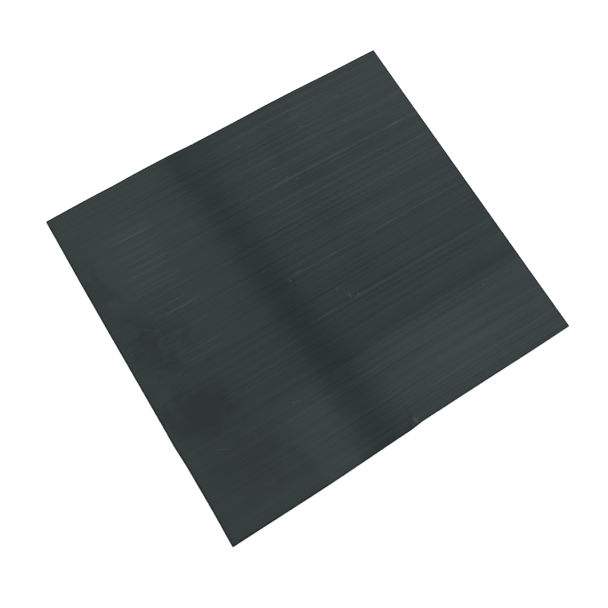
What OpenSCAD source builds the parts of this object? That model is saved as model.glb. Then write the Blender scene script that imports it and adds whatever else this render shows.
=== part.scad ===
// Seedling heat mat: a sealed, foam-backed mat with a printed carbon heater.
// Two vinyl covers and a border of edge strips enclose the core. From the bottom
// up, the core is an insulating foam, the printed heater film, a foil that spreads
// the heat, and a bonding film. A flat two-pin inlet is let into the rear edge,
// flush with the underside and hidden from above by the top cover.
// X runs along the wide side, Y towards the rear edge, Z up; the origin is at the
// middle of the underside.

/* [Mat] */
// Width of the mat, left to right
mat_w = 520; // [460:10:600]
// Depth of the mat, front to rear
mat_d = 480; // [440:10:560]
// Width of the strips that seal the edges
border_w = 10; // [8:0.5:12]

/* [Layers] */
// Thickness of the top cover
top_cover_t = 0.6; // [0.4:0.1:1]
// Thickness of the bottom cover
bottom_cover_t = 0.5; // [0.5:0.1:0.8]
// Thickness of the foam backing
foam_t = 2.1; // [2.1:0.1:3]
// Thickness of each heater film
film_t = 0.15; // [0.1:0.05:0.25]
// Thickness of the printed carbon and silver, and of the copper on it
print_t = 0.1; // [0.05:0.01:0.12]
// Thickness of the heat spreading foil
foil_t = 0.1; // [0.05:0.01:0.15]
// Thickness of the bonding film under the top cover
bond_t = 0.2; // [0.1:0.05:0.3]

/* [Heater] */
// Width of one carbon stripe
stripe_w = 12; // [8:1:14]
// Distance from one stripe to the next
stripe_pitch = 18; // [16:0.5:22]
// Width of a copper busbar
busbar_w = 12; // [8:1:13]

/* [Wiring] */
// Diameter of a lead wire's copper core
core_d = 1; // [0.8:0.1:1]
// Diameter over a lead wire's sleeve
sleeve_d = 1.6; // [1.4:0.1:1.6]

/* [Inlet] */
// Width of the inlet housing
inlet_w = 64; // [62:1:80]
// Depth of the inlet housing, front to rear
inlet_d = 34; // [34:1:40]
// Diameter of a contact pin's free end
pin_d = 1; // [0.8:0.1:1.1]
// Distance between the two contact pins
pin_pitch = 6; // [5:0.5:8]
// Length of a contact pin's free end, inside the mouth
pin_reach = 6; // [4:0.5:6.5]

/* [Hidden] */
$fn = 48;
eps = 0.01; // how far a cutter runs past a face

// Heights of the layers, each from its own underside
foam_z = bottom_cover_t;
base_film_z = foam_z + foam_t;
print_z = base_film_z + film_t;
busbar_z = print_z + print_t;
top_film_z = busbar_z + print_t;
foil_z = top_film_z + film_t;
bond_z = foil_z + foil_t;
top_cover_z = bond_z + bond_t;

// Plan of the core, inside the edge strips
core_w = mat_w - 2 * border_w;
core_depth = mat_d - 2 * border_w;
rear_y = mat_d / 2;
front_y = rear_y - inlet_d; // the inlet's front face

// Carbon stripes fill the depth between a front margin and the inlet
front_margin = 14;
inlet_margin = 10;
stripe_y0 = -core_depth / 2 + front_margin;
stripe_room = front_y - inlet_margin - stripe_y0;
stripe_n = floor((stripe_room - stripe_w) / stripe_pitch) + 1;

// Busbars, on silver strips that are a little wider
busbar_inset = 6;   // from the core's side to the busbar
busbar_overrun = 4; // past the stripes at the front, and short of the core at the rear
silver_margin = 1;
busbar_x = core_w / 2 - busbar_inset - busbar_w / 2;
busbar_y0 = stripe_y0 - busbar_overrun;
busbar_len = core_depth / 2 - busbar_overrun - busbar_y0;
silver_w = busbar_w + 2 * silver_margin;

// Eyelets, which clamp a lug to each busbar
eyelet_r = 1.5;
eyelet_bore_r = 1.2;
eyelet_flange_r = 2.6;
eyelet_flange_t = 0.1;
eyelet_foot_r = 2.4;
eyelet_foot_t = 0.15;
film_clearance = 0.2; // round an eyelet's flange, in the film over it
foil_clearance = 3;   // round an eyelet's flange, in the foil, which is not insulated

// Lugs and lead wires: a lug is a ring, a neck and a crimp barrel, along X
wire_y = rear_y - 21;
wire_z = base_film_z - 0.85;
lug_r = 3.2;
lug_t = 0.5;
lug_neck_w = 2.4;
lug_barrel_len = 4;
lug_barrel_x0 = busbar_x - 11.5; // the barrel's open end
lug_barrel_x1 = lug_barrel_x0 + lug_barrel_len;
lug_pocket = 0.8;     // clearance round a lug in the foam
channel_w = sleeve_d + 0.2;
sleeve_gap = 0.4;     // from a sleeve's end to the lug
ferrule_r = 0.85;     // a ferrule on a wire's or a pin's end, inside the inlet
ferrule_len = 2.6;
ferrule_gap = 0.4;    // from the end of the wire or pin to its ferrule

// Inlet housing
inlet_h = top_cover_z;
inlet_gap = 0.2;    // clearance between the housing and the laminate
wall = 1.2;
roof = 0.6;
lid_t = 0.6;
gasket_t = 0.3;
block_d = 9.2;      // depth of the solid block that holds the mouth
mouth_d = 7;
mouth_w = 14;
mouth_h = 2.3;
mouth_y = rear_y - mouth_d;
lid_w = inlet_w - 2 * wall;
lid_y0 = front_y + wall;
lid_y1 = rear_y - block_d;
cavity_w = lid_w - 2 * wall;
cavity_y0 = lid_y0 + wall;
cavity_y1 = lid_y1 - wall;
cavity_top = inlet_h - roof;
boss_w = 3.4;       // a square block in each corner of the cavity takes a screw
screw_x = (cavity_w - boss_w) / 2;
screw_y = [cavity_y0 + boss_w / 2, cavity_y1 - boss_w / 2];
grommet_r = 1.15;

// Lid screws
screw_r = 0.75;
screw_head_r = 1.4;
screw_head_h = 0.5;
screw_len = 2.4;
recess = [1.6, 0.35, 0.3]; // one arm of the cross recess, from end to end

// Pin carrier, and the pins' thinner tails behind it
carrier_w = 12;
carrier_h = 1.7;
carrier_flange = [1, 1.6, 0.1]; // how far it stands out, its depth, and its step in height
pin_tail_d = pin_d - 0.4;
pin_tail_y = wire_y + 2.4;

// Brass strips in the inlet
strip_w = 1.6;
strip_t = 0.25;
strip_z = wire_z - ferrule_r;

// Thermal cut-out: its middle is on the right lead wire
cutout_x = 15;
cutout_w = 14;
cutout_d = 7;
cutout_wall = 0.4;
cutout_floor = 0.25;
contact_x = cutout_x - 3.5;
contact_h = 0.2;
contact_r = 0.8;
contact_margin = 0.6; // strip past the fixed contact
blade_t = 0.2;
blade_w = 3;
blade_z = strip_z + strip_t + 2 * contact_h;
blade_mid_z = blade_z + blade_t / 2;
blade_root_x = cutout_x + 3.5;
blade_root_r = 0.18;  // the blade's root is rolled to a rod
blade_tip_x = contact_x - 1.2;
groove_r = blade_root_r + 0.04; // the groove that the root turns in
groove_slot = blade_t + 0.08;   // the way out of it, for the blade
post_x = blade_root_x - 0.3;
post_w = 1.8;         // length of the post that holds the groove

// Where each wire's core ends inside the inlet, and how far its sleeve is stripped
core_end_right = cutout_x + cutout_w / 2 + 1.2;
core_end_left = core_end_right - 5;
strip_back = 3.6;

// A flat layer: a rectangle centred on the mat, from z up, less the inlet's notch
module layer(w, d, z, t) {
    difference() {
        translate([-w / 2, -d / 2, z]) cube([w, d, t]);
        inlet_notch(z, t);
    }
}

module inlet_notch(z, t) {
    translate([-inlet_w / 2 - inlet_gap, front_y - inlet_gap, z - eps])
        cube([inlet_w + 2 * inlet_gap, inlet_d + 1, t + 2 * eps]);
}

// Runs its children at the left and at the right eyelet, mirrored
module both_sides() {
    children();
    mirror([1, 0, 0]) children();
}

module at_eyelet() {
    translate([busbar_x, wire_y, 0]) children();
}

module eyelet_hole(r, z, t) {
    both_sides() at_eyelet() translate([0, 0, z - eps]) cylinder(r = r, h = t + 2 * eps);
}

module stripe_places() {
    for (i = [0 : stripe_n - 1]) translate([0, stripe_y0 + i * stripe_pitch, 0]) children();
}

// A cylinder along X from x0 to x1, and one along Y from y0 to y1
module rod_x(x0, x1, r) {
    translate([x0, 0, 0]) rotate([0, 90, 0]) cylinder(r = r, h = x1 - x0);
}

module rod_y(y0, y1, r) {
    translate([0, y0, 0]) rotate([-90, 0, 0]) cylinder(r = r, h = y1 - y0);
}

// Laminate, from the top down

module top_cover() {
    color("#373e3f") translate([-mat_w / 2, -mat_d / 2, top_cover_z])
        cube([mat_w, mat_d, top_cover_t]);
}

module bonding_film() {
    color("#d8d4c4") layer(core_w, core_depth, bond_z, bond_t);
}

module heat_spreader_foil() {
    color("#c9ccd0") difference() {
        layer(core_w, core_depth, foil_z, foil_t);
        eyelet_hole(eyelet_flange_r + foil_clearance, foil_z, foil_t);
    }
}

module heater_top_film() {
    color("#a9b4b8") difference() {
        layer(core_w, core_depth, top_film_z, film_t);
        eyelet_hole(eyelet_flange_r + film_clearance, top_film_z, film_t);
    }
}

module carbon_stripe() {
    stripe_len = 2 * busbar_x - silver_w;
    translate([-stripe_len / 2, 0, print_z]) cube([stripe_len, stripe_w, print_t]);
}

module carbon_stripes() {
    color("#1b1b1d") stripe_places() carbon_stripe();
}

module silver_strip() {
    difference() {
        translate([busbar_x - silver_w / 2, busbar_y0, print_z])
            cube([silver_w, busbar_len, print_t]);
        at_eyelet() translate([0, 0, print_z - eps]) cylinder(r = eyelet_r, h = print_t + 2 * eps);
    }
}

module silver_strips() {
    color("#b9bcc0") both_sides() silver_strip();
}

module busbar() {
    difference() {
        translate([busbar_x - busbar_w / 2, busbar_y0, busbar_z])
            cube([busbar_w, busbar_len, print_t]);
        at_eyelet() translate([0, 0, busbar_z - eps]) cylinder(r = eyelet_r, h = print_t + 2 * eps);
    }
}

module busbar_right() {
    color("#b87348") busbar();
}

module busbar_left() {
    color("#b87348") mirror([1, 0, 0]) busbar();
}

// The adhesive fills what the stripes, silver and copper leave between the films
module laminating_adhesive() {
    color("#c8c2a0") difference() {
        layer(core_w, core_depth, print_z, 2 * print_t);
        translate([0, 0, -eps]) stripe_places() carbon_stripe();
        stripe_places() carbon_stripe();
        for (side = [-1, 1]) {
            translate([side * busbar_x - silver_w / 2, busbar_y0, print_z - eps])
                cube([silver_w, busbar_len, print_t + eps]);
            translate([side * busbar_x - busbar_w / 2, busbar_y0, busbar_z - eps])
                cube([busbar_w, busbar_len, print_t + 2 * eps]);
        }
    }
}

module heater_base_film() {
    color("#b4bcc0") difference() {
        layer(core_w, core_depth, base_film_z, film_t);
        eyelet_hole(eyelet_r, base_film_z, film_t);
    }
}

// The foam has a pocket for each lug and a channel for each lead wire
module foam_pad() {
    pocket_r = lug_r + lug_pocket;
    pocket_x = lug_barrel_x0 - lug_pocket;
    color("#8f9698") difference() {
        layer(core_w, core_depth, foam_z, foam_t);
        both_sides() translate([0, wire_y, foam_z - eps]) {
            translate([pocket_x, -pocket_r, 0])
                cube([busbar_x + pocket_r - pocket_x, 2 * pocket_r, foam_t + 2 * eps]);
            translate([inlet_w / 2, -channel_w / 2, 0])
                cube([pocket_x - inlet_w / 2 + eps, channel_w, foam_t + 2 * eps]);
        }
    }
}

// One length of edge strip, from corner to corner in plan
module edge_strip(x0, x1, y0, y1) {
    color("#25292a") translate([x0, y0, foam_z]) cube([x1 - x0, y1 - y0, top_cover_z - foam_z]);
}

module edge_strip_front() {
    edge_strip(-core_w / 2, core_w / 2, -rear_y, -core_depth / 2);
}

module edge_strip_left() {
    edge_strip(-mat_w / 2, -core_w / 2, -rear_y, rear_y);
}

module edge_strip_right() {
    edge_strip(core_w / 2, mat_w / 2, -rear_y, rear_y);
}

module edge_strip_rear_left() {
    edge_strip(-core_w / 2, -inlet_w / 2 - inlet_gap, core_depth / 2, rear_y);
}

module edge_strip_rear_right() {
    edge_strip(inlet_w / 2 + inlet_gap, core_w / 2, core_depth / 2, rear_y);
}

module bottom_cover() {
    color("#2b2f30") layer(mat_w, mat_d, 0, bottom_cover_t);
}

// Wiring

module busbar_eyelet() {
    foot_z = base_film_z - lug_t - eyelet_foot_t;
    flange_z = busbar_z + print_t;
    at_eyelet() difference() {
        union() {
            translate([0, 0, foot_z]) cylinder(r = eyelet_foot_r, h = eyelet_foot_t);
            translate([0, 0, foot_z]) cylinder(r = eyelet_r, h = flange_z + eyelet_flange_t - foot_z);
            translate([0, 0, flange_z]) cylinder(r = eyelet_flange_r, h = eyelet_flange_t);
        }
        translate([0, 0, foot_z - eps])
            cylinder(r = eyelet_bore_r, h = flange_z + eyelet_flange_t - foot_z + 2 * eps);
    }
}

module busbar_eyelets() {
    color("#c6b074") both_sides() busbar_eyelet();
}

module lug() {
    tongue_z = base_film_z - lug_t;
    difference() {
        union() {
            at_eyelet() translate([0, 0, tongue_z]) cylinder(r = lug_r, h = lug_t);
            translate([lug_barrel_x1 - 1, wire_y - lug_neck_w / 2, tongue_z])
                cube([busbar_x - lug_barrel_x1, lug_neck_w, lug_t]);
            translate([0, wire_y, wire_z]) rod_x(lug_barrel_x0, lug_barrel_x1, base_film_z - wire_z);
        }
        at_eyelet() translate([0, 0, tongue_z - eps]) cylinder(r = eyelet_r, h = lug_t + 2 * eps);
        translate([0, wire_y, wire_z]) rod_x(lug_barrel_x0 - eps, lug_barrel_x1 + eps, core_d / 2);
    }
}

module lug_right() {
    color("#cfc9b4") lug();
}

module lug_left() {
    color("#cfc9b4") mirror([1, 0, 0]) lug();
}

module wire_core(x0) {
    translate([0, wire_y, wire_z]) rod_x(x0, lug_barrel_x1, core_d / 2);
}

module wire_sleeve(x0) {
    translate([0, wire_y, wire_z]) difference() {
        rod_x(x0, lug_barrel_x0 - sleeve_gap, sleeve_d / 2);
        rod_x(x0 - eps, lug_barrel_x0, core_d / 2);
    }
}

module wire_core_right() {
    color("#b87348") wire_core(core_end_right);
}

module wire_core_left() {
    color("#b87348") mirror([1, 0, 0]) wire_core(core_end_left);
}

module wire_sleeve_right() {
    color("#8c2f28") wire_sleeve(core_end_right + strip_back);
}

module wire_sleeve_left() {
    color("#20242a") mirror([1, 0, 0]) wire_sleeve(core_end_left + strip_back);
}

// Inlet

module at_screws() {
    for (x = [-screw_x, screw_x]) for (y = screw_y) translate([x, y, 0]) children();
}

module inlet_housing() {
    color("#1d2021") difference() {
        union() {
            difference() {
                translate([-inlet_w / 2, front_y, 0]) cube([inlet_w, inlet_d, inlet_h]);
                translate([-lid_w / 2, lid_y0, -eps])
                    cube([lid_w, lid_y1 - lid_y0, lid_t + gasket_t + eps]);
                translate([-cavity_w / 2, cavity_y0, 0])
                    cube([cavity_w, cavity_y1 - cavity_y0, cavity_top]);
            }
            at_screws() translate([-boss_w / 2, -boss_w / 2, lid_t])
                cube([boss_w, boss_w, cavity_top - lid_t]);
        }
        at_screws() translate([0, 0, lid_t - eps]) cylinder(r = screw_r, h = screw_len - lid_t + 2 * eps);
        translate([-mouth_w / 2, mouth_y, wire_z - mouth_h / 2])
            cube([mouth_w, mouth_d + eps, mouth_h]);
        translate([-carrier_w / 2, cavity_y1 - eps, wire_z - carrier_h / 2])
            cube([carrier_w, mouth_y - cavity_y1 + 2 * eps, carrier_h]);
        translate([0, wire_y, wire_z]) both_sides()
            rod_x(cavity_w / 2 - eps, inlet_w / 2 + eps, grommet_r);
    }
}

module screw_shape() {
    cylinder(r1 = screw_head_r, r2 = screw_r, h = screw_head_h);
    cylinder(r = screw_r, h = screw_len);
}

module inlet_lid() {
    color("#222627") difference() {
        translate([-lid_w / 2, lid_y0, 0]) cube([lid_w, lid_y1 - lid_y0, lid_t]);
        at_screws() {
            cylinder(r1 = screw_head_r, r2 = screw_r, h = screw_head_h);
            translate([0, 0, -eps]) cylinder(r = screw_r, h = lid_t + 2 * eps);
        }
    }
}

module lid_gasket() {
    color("#6b7274") difference() {
        translate([-lid_w / 2, lid_y0, lid_t]) cube([lid_w, lid_y1 - lid_y0, gasket_t]);
        translate([-cavity_w / 2, cavity_y0, lid_t - eps])
            cube([cavity_w, cavity_y1 - cavity_y0, gasket_t + 2 * eps]);
    }
}

// Countersunk screws with a cross recess, put in from below
module lid_screws() {
    color("#a7abae") at_screws() difference() {
        screw_shape();
        for (turn = [0, 90]) rotate(turn)
            translate([-recess[0] / 2, -recess[1] / 2, -eps]) cube(recess);
    }
}

module wire_grommets() {
    color("#3a3f42") both_sides() translate([0, wire_y, wire_z]) difference() {
        rod_x(lid_w / 2, inlet_w / 2, grommet_r);
        rod_x(lid_w / 2 - eps, inlet_w / 2 + eps, sleeve_d / 2);
    }
}

module pin_carrier() {
    flange = [carrier_w + 2 * carrier_flange[0], carrier_flange[1], carrier_h + 2 * carrier_flange[2]];
    flange_y = cavity_y1 - flange[1];
    color("#e3dfd2") difference() {
        union() {
            translate([-carrier_w / 2, flange_y, wire_z - carrier_h / 2])
                cube([carrier_w, mouth_y - flange_y, carrier_h]);
            translate([-flange[0] / 2, flange_y, wire_z - flange[2] / 2]) cube(flange);
        }
        for (x = [-pin_pitch / 2, pin_pitch / 2]) translate([x, 0, wire_z])
            rod_y(flange_y - eps, mouth_y + eps, pin_tail_d / 2);
    }
}

// A thin tail through the carrier, and a free end in the mouth
module contact_pin(x) {
    color("#d3b45c") translate([x, 0, wire_z]) {
        rod_y(pin_tail_y, mouth_y, pin_tail_d / 2);
        rod_y(mouth_y, mouth_y + pin_reach, pin_d / 2);
    }
}

module contact_pin_left() {
    contact_pin(-pin_pitch / 2);
}

module contact_pin_right() {
    contact_pin(pin_pitch / 2);
}

// A flat strip from x_far on the wire's line to the right pin's tail, with a ferrule there
module pin_strip(x_far) {
    ferrule_y = pin_tail_y + ferrule_gap;
    translate([pin_pitch / 2 - strip_w / 2, wire_y - strip_w / 2, strip_z]) {
        cube([x_far - pin_pitch / 2 + strip_w / 2, strip_w, strip_t]);
        cube([strip_w, ferrule_y + ferrule_len - wire_y + strip_w / 2, strip_t]);
    }
    translate([pin_pitch / 2, 0, wire_z]) rod_y(ferrule_y, ferrule_y + ferrule_len, ferrule_r);
}

module pin_bore() {
    translate([pin_pitch / 2, 0, wire_z])
        rod_y(pin_tail_y, pin_tail_y + 2 * ferrule_gap + ferrule_len, pin_tail_d / 2);
}

// A ferrule on a wire's core that ends at x_end, and its bore
module wire_ferrule(x_end) {
    translate([0, wire_y, wire_z]) rod_x(x_end + ferrule_gap, x_end + ferrule_gap + ferrule_len, ferrule_r);
}

module wire_bore(x_end) {
    translate([0, wire_y, wire_z]) rod_x(x_end, x_end + 2 * ferrule_gap + ferrule_len, core_d / 2);
}

module link_strap() {
    color("#cdb56a") mirror([1, 0, 0]) difference() {
        union() {
            pin_strip(core_end_left + ferrule_len);
            wire_ferrule(core_end_left);
        }
        pin_bore();
        wire_bore(core_end_left);
    }
}

// Thermal cut-out

module cutout_case() {
    inner = [cutout_w - 2 * cutout_wall, cutout_d - 2 * cutout_wall];
    case_z = strip_z - cutout_floor;
    color("#4a3a2c") translate([cutout_x, wire_y, 0]) difference() {
        translate([-cutout_w / 2, -cutout_d / 2, case_z])
            cube([cutout_w, cutout_d, cavity_top - cutout_floor - case_z]);
        translate([-inner[0] / 2, -inner[1] / 2, strip_z]) cube([inner[0], inner[1], cavity_top]);
        translate([-cutout_w, -strip_w / 2, strip_z]) cube([2 * cutout_w, strip_w, strip_t]);
    }
}

module cutout_lid() {
    color("#5a4735") translate([cutout_x - cutout_w / 2, wire_y - cutout_d / 2, cavity_top - cutout_floor])
        cube([cutout_w, cutout_d, cutout_floor]);
}

module cutout_contact_terminal() {
    color("#cdb56a") difference() {
        union() {
            pin_strip(contact_x + contact_r + contact_margin);
            translate([contact_x, wire_y, strip_z]) cylinder(r = contact_r, h = strip_t + contact_h);
        }
        pin_bore();
    }
}

// Its post has a groove for the blade's root, open towards the blade
module cutout_anchor_terminal() {
    post_z = strip_z + strip_t;
    color("#cdb56a") difference() {
        union() {
            translate([post_x, wire_y - strip_w / 2, strip_z])
                cube([core_end_right + ferrule_len - post_x, strip_w, strip_t]);
            translate([post_x, wire_y - blade_w / 2, post_z])
                cube([post_w, blade_w, 2 * (blade_mid_z - post_z)]);
            wire_ferrule(core_end_right);
        }
        wire_bore(core_end_right);
        translate([blade_root_x, wire_y, blade_mid_z]) rod_y(-blade_w, blade_w, groove_r);
        translate([post_x - eps, wire_y - blade_w, blade_mid_z - groove_slot / 2])
            cube([blade_root_x - post_x, 2 * blade_w, groove_slot]);
    }
}

// The bimetal blade turns about its rolled root and carries the moving contact
module cutout_blade() {
    color("#b8bcc2") translate([0, wire_y, 0]) {
        translate([blade_root_x, 0, blade_mid_z]) rod_y(-blade_w / 2, blade_w / 2, blade_root_r);
        translate([blade_tip_x, -blade_w / 2, blade_z])
            cube([blade_root_x - blade_tip_x, blade_w, blade_t]);
        translate([contact_x, 0, blade_z - contact_h]) cylinder(r = contact_r, h = contact_h + blade_t / 2);
    }
}

top_cover();
bonding_film();
heat_spreader_foil();
heater_top_film();
laminating_adhesive();
carbon_stripes();
silver_strips();
busbar_left();
busbar_right();
heater_base_film();
foam_pad();
edge_strip_front();
edge_strip_left();
edge_strip_right();
edge_strip_rear_left();
edge_strip_rear_right();
bottom_cover();
busbar_eyelets();
lug_left();
lug_right();
wire_core_left();
wire_core_right();
wire_sleeve_left();
wire_sleeve_right();
inlet_housing();
inlet_lid();
lid_gasket();
lid_screws();
wire_grommets();
pin_carrier();
contact_pin_left();
contact_pin_right();
link_strap();
cutout_case();
cutout_lid();
cutout_contact_terminal();
cutout_anchor_terminal();
cutout_blade();
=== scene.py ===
"""The looks of a seedling heat mat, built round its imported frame.

Each layer of the laminate is copied from its solid, cut into small panels and laid with
the slight waves of a mat that has been stored rolled up. The inlet in the rear edge and
the thermal cut-out inside it keep their solids' places. Lengths are in metres, in the
frame's own axes: X along the wide side, Y towards the rear edge, Z up from the bench.
"""

import logging
import math
from dataclasses import dataclass
from enum import Enum
from functools import partial, reduce
from typing import Sequence

import bpy
import numpy as np
from mathutils import Matrix, Vector


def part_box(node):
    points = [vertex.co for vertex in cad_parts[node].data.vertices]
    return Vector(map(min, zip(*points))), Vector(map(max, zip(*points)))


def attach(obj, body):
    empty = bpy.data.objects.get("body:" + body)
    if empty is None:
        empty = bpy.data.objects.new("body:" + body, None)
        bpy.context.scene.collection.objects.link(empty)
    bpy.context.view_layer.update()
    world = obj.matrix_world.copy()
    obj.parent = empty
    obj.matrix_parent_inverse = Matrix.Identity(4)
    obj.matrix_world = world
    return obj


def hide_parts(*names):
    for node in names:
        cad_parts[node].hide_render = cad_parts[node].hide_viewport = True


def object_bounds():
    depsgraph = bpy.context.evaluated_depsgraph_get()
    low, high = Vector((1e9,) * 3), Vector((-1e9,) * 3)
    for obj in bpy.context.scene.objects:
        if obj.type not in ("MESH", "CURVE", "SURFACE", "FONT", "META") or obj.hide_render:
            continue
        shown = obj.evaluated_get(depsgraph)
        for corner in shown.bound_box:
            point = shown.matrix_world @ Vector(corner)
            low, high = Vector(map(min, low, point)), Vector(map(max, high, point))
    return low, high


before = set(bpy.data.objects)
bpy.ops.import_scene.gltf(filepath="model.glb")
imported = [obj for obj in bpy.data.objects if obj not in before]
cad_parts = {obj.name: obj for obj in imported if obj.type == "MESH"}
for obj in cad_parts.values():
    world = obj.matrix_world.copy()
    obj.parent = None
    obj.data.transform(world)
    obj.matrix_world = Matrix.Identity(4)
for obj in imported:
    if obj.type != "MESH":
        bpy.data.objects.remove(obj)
CAD_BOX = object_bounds()

LOG = logging.getLogger("heat_mat")
HALF_WIDE = CAD_BOX[1][0]
HALF_DEEP = CAD_BOX[1][1]
MAT_BODY = "mat"
FLAT_MAP = "flat"
# What the flat map adds to both places, so that none is below zero.
MAP_RAISE = 0.5
# Points closer together than this are one point.
MERGE = 1e-6
# Neighbouring faces that turn by less than this lie in one plane.
ONE_PLANE = math.radians(0.5)
# Cuts are rounded to this many places, so that none is made twice.
CUT_DIGITS = 6
# Lines that one colour ramp has room for.
RAMP_LINES = 10
# The colour mix node's inputs for the amount and the two colours, and its output.
MIX_INPUTS = (0, 6, 7)
MIX_OUTPUT = 2

Socket = bpy.types.NodeSocket
Piece = bpy.types.Object
Finish = bpy.types.Material
Colour = tuple[float, float, float]
Point = tuple[float, float, float]
# The start and the end of a stretch or of a range.
Span = tuple[float, float]
# Where a change starts and ends, then its values there.
Ramp = tuple[float, float, float, float]


class Slot(Enum):
    """The record's material slot names, passed along with new pieces but not read."""

    VINYL_TOP = "vinyl_top"
    VINYL_BOTTOM = "vinyl_bottom"
    EDGE_VINYL = "edge_vinyl"
    FOAM = "foam"
    BONDING_FILM = "bonding_film"
    FOIL = "foil"
    HEATER_FILM = "heater_film"
    ADHESIVE = "adhesive"
    CARBON_INK = "carbon_ink"
    SILVER_INK = "silver_ink"
    COPPER = "copper"
    TINNED_BRASS = "tinned_brass"
    SLEEVE_RED = "sleeve_red"
    SLEEVE_BLACK = "sleeve_black"
    INLET_PLASTIC = "inlet_plastic"
    SCREW_STEEL = "screw_steel"
    CONTACT_GOLD = "contact_gold"


class Axis(Enum):
    """The axes that pieces are cut across, as indices."""

    X = 0
    Y = 1


# ------------------------------------------------------------ how the mat lies


def smooth(value: np.ndarray) -> np.ndarray:
    """Smooth step from 0 at 0 to 1 at 1."""
    t = np.clip(value, 0.0, 1.0)
    return t * t * (3.0 - 2.0 * t)


def hump(distance: np.ndarray, width: float) -> np.ndarray:
    """Bell of height 1 at distance 0, about a third at one width away."""
    return np.exp(-((distance / width) ** 2))


@dataclass(frozen=True)
class Wave:
    """A low ridge from front to rear, left by storing the mat rolled up."""

    x: float
    width: float
    height: float
    lean: float = 0.0

    def lift(self, x: np.ndarray, y: np.ndarray) -> np.ndarray:
        """Height of the ridge at each point."""
        return self.height * hump(x - self.x - self.lean * y, self.width)


@dataclass(frozen=True)
class Curl:
    """A corner or a stretch of edge that stands off the bench."""

    x: float
    y: float
    width: float
    height: float

    def lift(self, x: np.ndarray, y: np.ndarray) -> np.ndarray:
        """Height of the curl at each point."""
        return self.height * hump(np.hypot(x - self.x, y - self.y), self.width)


@dataclass(frozen=True)
class Crease:
    """A soft fold line that runs in from the front edge and dies out."""

    x: float
    y_end: float
    width: float
    height: float
    cut_widths: Sequence[float] = (-2.0, -1.3, -0.7, 0.0, 0.7, 1.3, 2.0)

    def lift(self, x: np.ndarray, y: np.ndarray) -> np.ndarray:
        """Height of the fold at each point."""
        along = smooth((self.y_end - y) / (self.y_end + HALF_DEEP))
        return self.height * along * hump(x - self.x, self.width)

    def cuts(self) -> list[float]:
        """Places of the cuts that let the panels follow the fold."""
        return [self.x + self.width * widths for widths in self.cut_widths]


@dataclass(frozen=True)
class EdgeLine:
    """How far an edge stands out from straight, at a few places along it."""

    knots: Sequence[tuple[float, float]]

    def push(self, along: np.ndarray) -> np.ndarray:
        """How far out the edge stands at each place along it.

        Args:
            along: Places along the edge.

        Returns:
            The distances, positive away from the mat.
        """
        out = np.full_like(along, self.knots[0][1])
        for (start, low), (end, high) in zip(self.knots, self.knots[1:]):
            out += (high - low) * smooth((along - start) / (end - start))
        return out


@dataclass(frozen=True)
class Lie:
    """How the mat lies: the small moves from its flat solids to its laid shape."""

    waves: Sequence[Wave] = (
        Wave(x=-0.205, width=0.045, height=0.0007, lean=-0.10),
        Wave(x=-0.055, width=0.055, height=0.0005, lean=-0.06),
        Wave(x=0.085, width=0.055, height=0.0007),
        Wave(x=0.215, width=0.050, height=0.0006),
    )
    curls: Sequence[Curl] = (
        Curl(x=-0.26, y=0.24, width=0.070, height=0.0020),
        Curl(x=0.26, y=0.24, width=0.060, height=0.0003),
        Curl(x=0.26, y=-0.24, width=0.055, height=0.0003),
        Curl(x=-0.26, y=-0.24, width=0.060, height=0.0014),
        Curl(x=-0.26, y=-0.100, width=0.017, height=0.0014),
        Curl(x=0.014, y=-0.24, width=0.007, height=0.0009),
    )
    creases: Sequence[Crease] = (
        Crease(x=0.014, y_end=-0.12, width=0.0036, height=0.00006),
        Crease(x=-0.135, y_end=-0.09, width=0.0030, height=0.00008),
    )
    rear_edge: EdgeLine = EdgeLine(
        (
            (-0.260, -0.0021), (-0.175, -0.0002), (-0.115, 0.0009), (0.0, 0.0005), (0.110, 0.0001),
            (0.225, -0.0019), (0.260, -0.0022),
        )
    )
    front_edge: EdgeLine = EdgeLine(
        (
            (-0.260, 0.0004), (-0.120, 0.0016), (0.0, 0.0006), (0.022, -0.0008), (0.060, -0.0006),
            (0.215, 0.0005),
        )
    )
    left_edge: EdgeLine = EdgeLine(
        (
            (-0.240, -0.0015), (-0.195, -0.0019), (-0.140, -0.0015), (-0.095, -0.0002), (0.120, 0.0002),
            (0.240, -0.0007),
        )
    )
    edge_reach: float = 0.8
    calm_margin: float = 0.0015
    calm_reach: float = 0.045

    def calm(self, x: np.ndarray, y: np.ndarray) -> np.ndarray:
        """How free the mat is to move at each point.

        Args:
            x: Places along X.
            y: Places along Y.

        Returns:
            0 over the stiff inlet, growing smoothly to 1 away from it.
        """
        low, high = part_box("inlet_housing")
        away_x = np.maximum(np.abs(x) - high.x - self.calm_margin, 0.0)
        away_y = np.maximum(low.y - self.calm_margin - y, 0.0)
        return smooth(np.hypot(away_x, away_y) / self.calm_reach)

    def move(self, co: np.ndarray) -> np.ndarray:
        """Moves points of the flat mat to where they lie.

        Args:
            co: One row of x, y and z for each point.

        Returns:
            The moved points, in the same order.
        """
        x, y = co[:, 0], co[:, 1]
        u, v = x / HALF_WIDE, y / HALF_DEEP
        near = 1.0 - self.edge_reach
        rear, front, left = (smooth((side - near) / self.edge_reach) for side in (v, -v, -u))
        parts = (*self.waves, *self.curls, *self.creases)
        moved = co.copy()
        moved[:, 0] -= self.left_edge.push(y) * left * self.calm(x, y)
        moved[:, 1] += self.rear_edge.push(x) * rear * self.calm(x, y)
        moved[:, 1] -= self.front_edge.push(x) * front
        moved[:, 2] += sum(part.lift(x, y) for part in parts) * self.calm(x, y)
        return moved


# ------------------------------------------------------------ marks on a film


@dataclass(frozen=True)
class Line:
    """A straight mark along X: its place, width and brightness."""

    y: float
    width: float
    strength: float


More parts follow.
